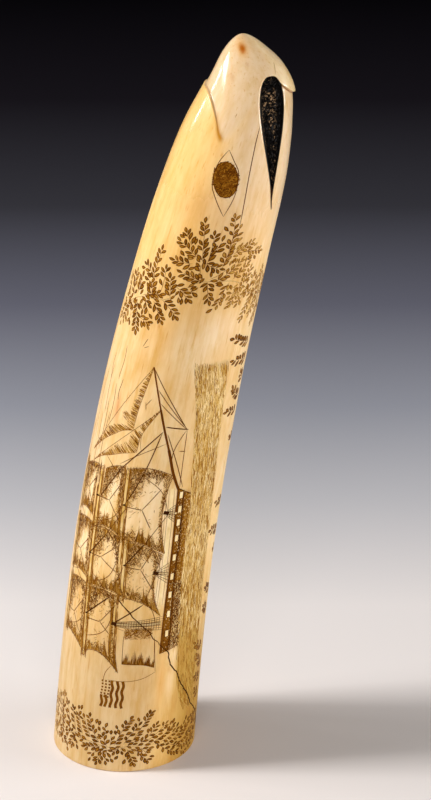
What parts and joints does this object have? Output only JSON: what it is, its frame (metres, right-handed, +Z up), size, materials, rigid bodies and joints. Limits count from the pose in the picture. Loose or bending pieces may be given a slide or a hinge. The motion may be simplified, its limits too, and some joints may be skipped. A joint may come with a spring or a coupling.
{
  "type": "scrimshaw ivory tusk",
  "caption": "Ivory tusk standing on its flat cut base, leaning forward, its tip carved as a hooked bird-of-prey head with black mouth pockets, engraved in brown ink.",
  "frame": {"origin": "the middle of the flat cut base, on the surface that the tusk stands on", "axes": "+Z up from the cut base; the tusk leans and bends towards +X, the side on which the beak hooks; -Y is the side with the engraved ship, +Y the other side"},
  "size_m": [0.0935, 0.0506, 0.3],
  "materials": {
    "ivory": "satin"
  },
  "bodies": {
    "root": {"tusk": "ivory"}
  },
  "joints": []
}
